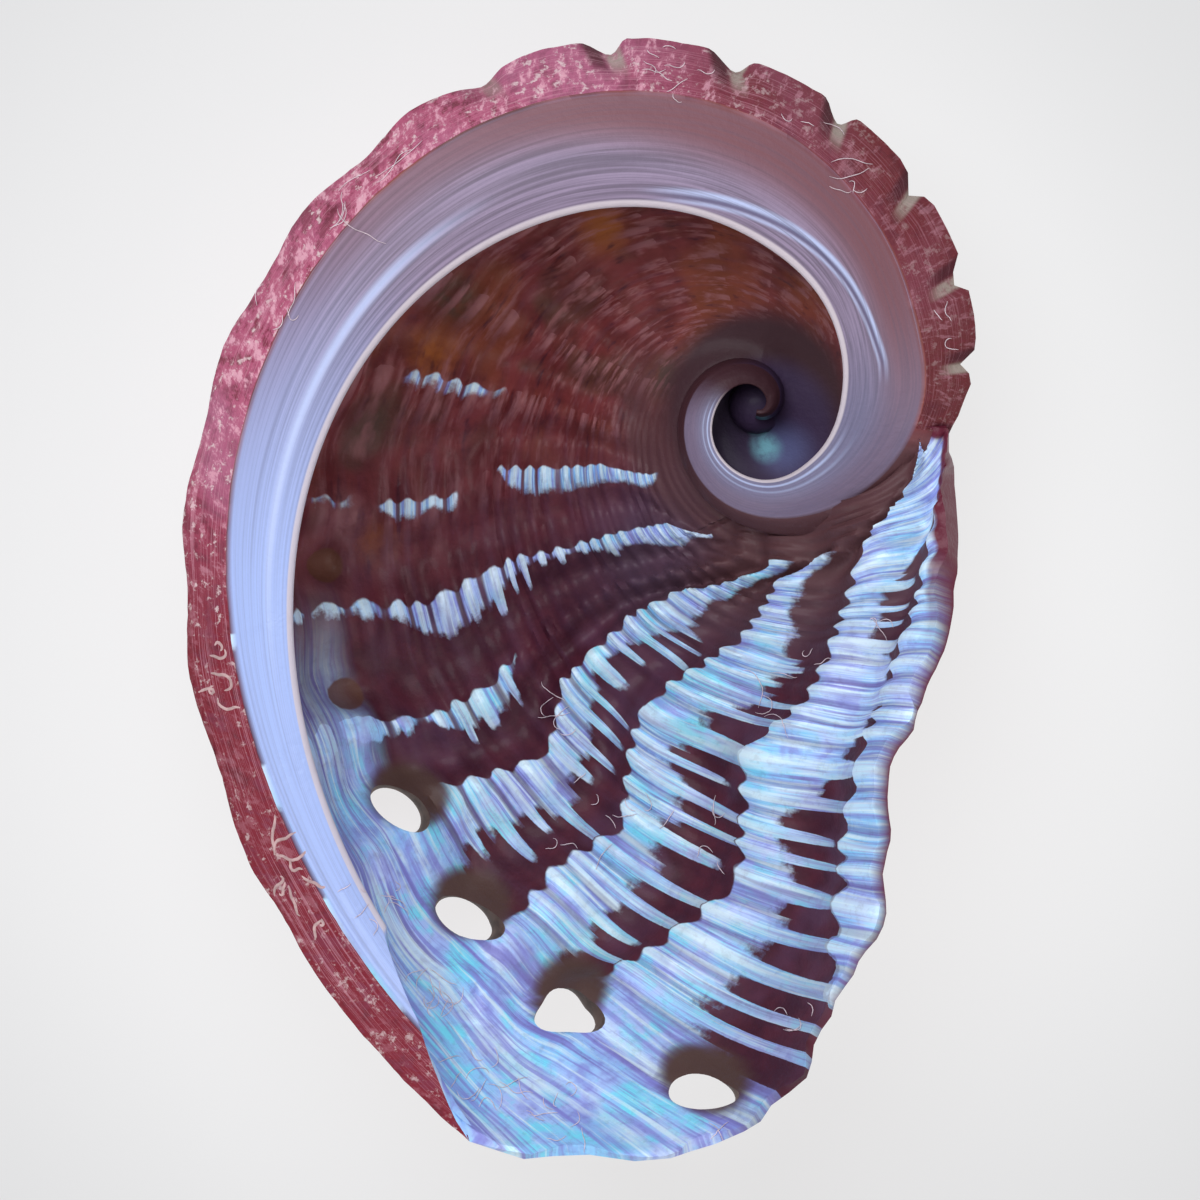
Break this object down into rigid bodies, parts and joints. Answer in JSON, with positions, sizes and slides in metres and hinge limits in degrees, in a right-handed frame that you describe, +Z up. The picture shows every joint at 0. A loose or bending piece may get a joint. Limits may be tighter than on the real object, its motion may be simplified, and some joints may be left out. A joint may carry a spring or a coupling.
{
  "type": "abalone shell",
  "caption": "Small abalone shell lying on its back: an open spiral bowl with a pearly ribbed inside, a broad smooth ledge, a coiled spire end and a row of pores.",
  "frame": {"origin": "centre of the shell's outline seen from above, on the level of the flat that the shell rests on", "axes": "+Y along the length towards the spire end, +X towards the outer lip, +Z up out of the open side"},
  "size_m": [0.0336, 0.0474, 0.0146],
  "materials": {
    "shell": "pearly inside, rough dull red outside"
  },
  "bodies": {
    "root": {"shell": "shell"}
  },
  "joints": []
}
